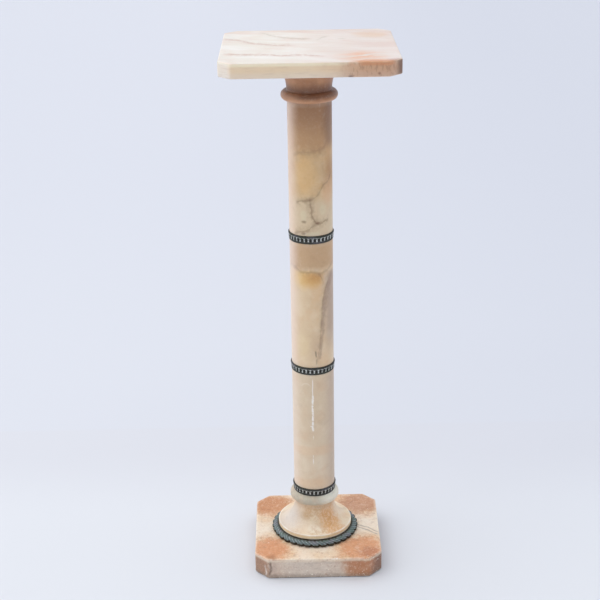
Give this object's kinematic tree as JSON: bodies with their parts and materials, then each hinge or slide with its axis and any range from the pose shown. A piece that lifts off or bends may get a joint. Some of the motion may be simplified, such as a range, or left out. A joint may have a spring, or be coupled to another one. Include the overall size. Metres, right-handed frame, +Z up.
{
  "type": "alabaster pedestal column",
  "caption": "Slim pedestal column of turned alabaster drums joined by bronze bands, with a square slab on top and a square plinth below, to hold a vase or lamp.",
  "frame": {"origin": "on the floor under the column's axis, in the plane of the plinth's underside", "axes": "+Z up along the column, +Y from the front to the back, +X to the right seen from the front"},
  "size_m": [0.304, 0.304, 1],
  "materials": {
    "plinth_alabaster": "polished, worn",
    "wreath_bronze": "blue-green patina",
    "foot_alabaster": "polished",
    "band_bronze": "dark green patina",
    "lower_alabaster": "polished",
    "middle_alabaster": "polished",
    "upper_alabaster": "polished",
    "capital_alabaster": "polished",
    "slab_alabaster": "polished"
  },
  "bodies": {
    "root": {"plinth": "plinth_alabaster", "foot_wreath": "wreath_bronze", "turned_foot": "foot_alabaster", "lower_band": "band_bronze", "lower_drum": "lower_alabaster", "middle_band": "band_bronze", "middle_drum": "middle_alabaster", "upper_band": "band_bronze", "upper_drum": "upper_alabaster", "capital": "capital_alabaster", "top_slab": "slab_alabaster"}
  },
  "joints": []
}
